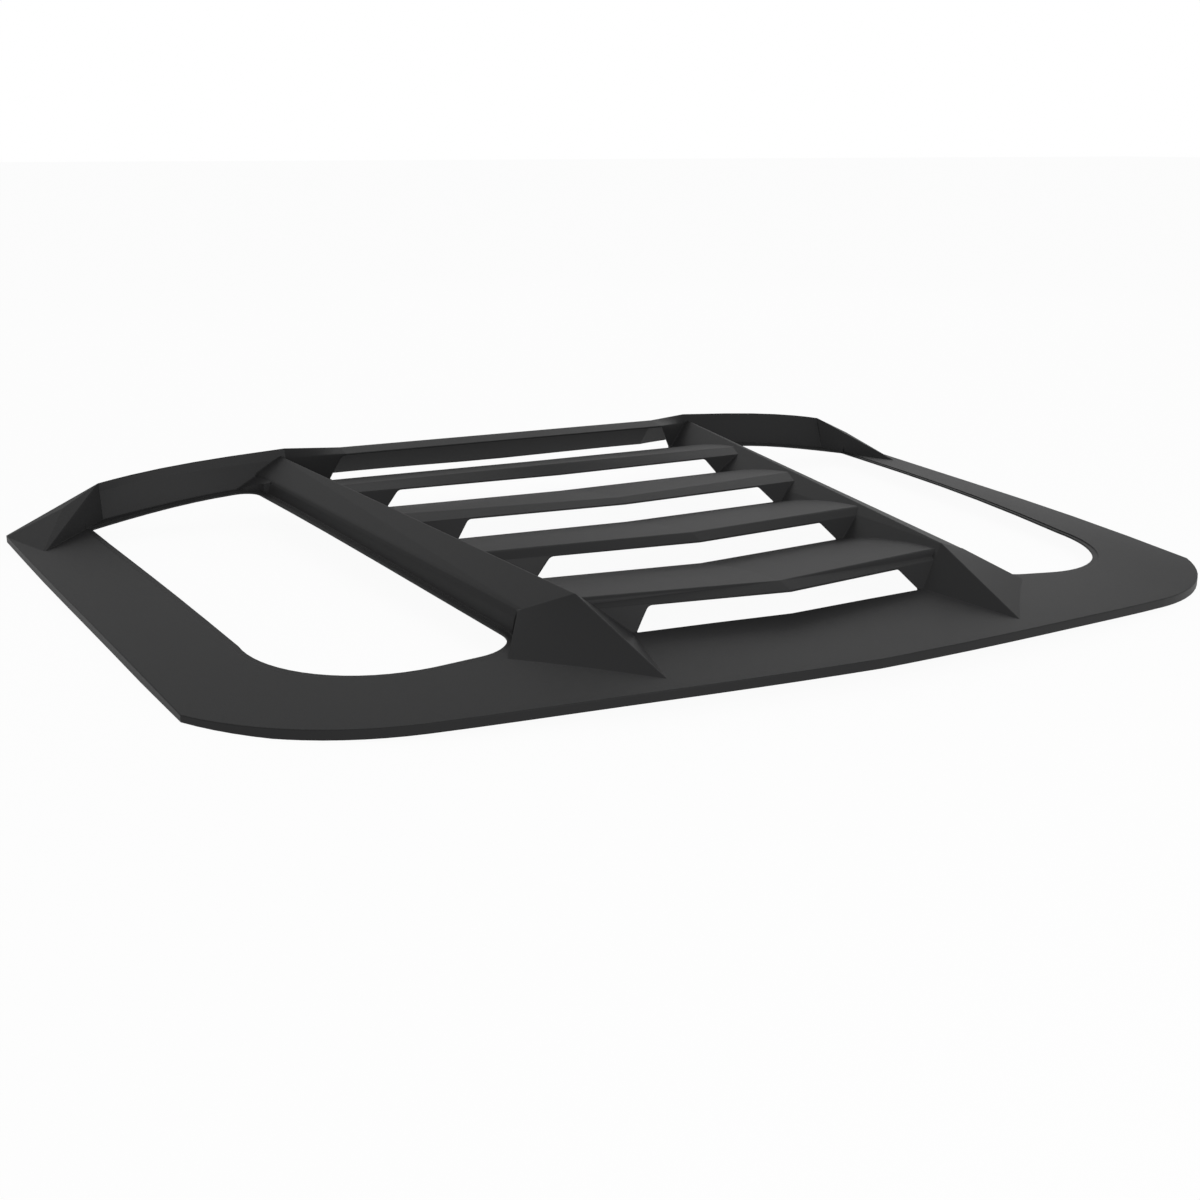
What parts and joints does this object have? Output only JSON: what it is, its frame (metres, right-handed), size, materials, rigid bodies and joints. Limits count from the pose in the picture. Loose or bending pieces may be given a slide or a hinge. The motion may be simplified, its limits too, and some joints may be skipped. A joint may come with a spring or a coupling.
{
  "type": "rear window louver",
  "caption": "Black moulded plastic louver panel for a sloping car rear window, with stepped slats between two rails and an open window at each side.",
  "frame": {"origin": "middle of the bounding box, on the plane that the panel's lowest edges lie on", "axes": "+X across the car to the right, +Y up the slope towards the roof edge, +Z away from the glass"},
  "size_m": [1.258, 0.905, 0.0905],
  "materials": {
    "black_plastic": "fine-grained matte black"
  },
  "bodies": {
    "root": {"louver_panel": "black_plastic"}
  },
  "joints": []
}
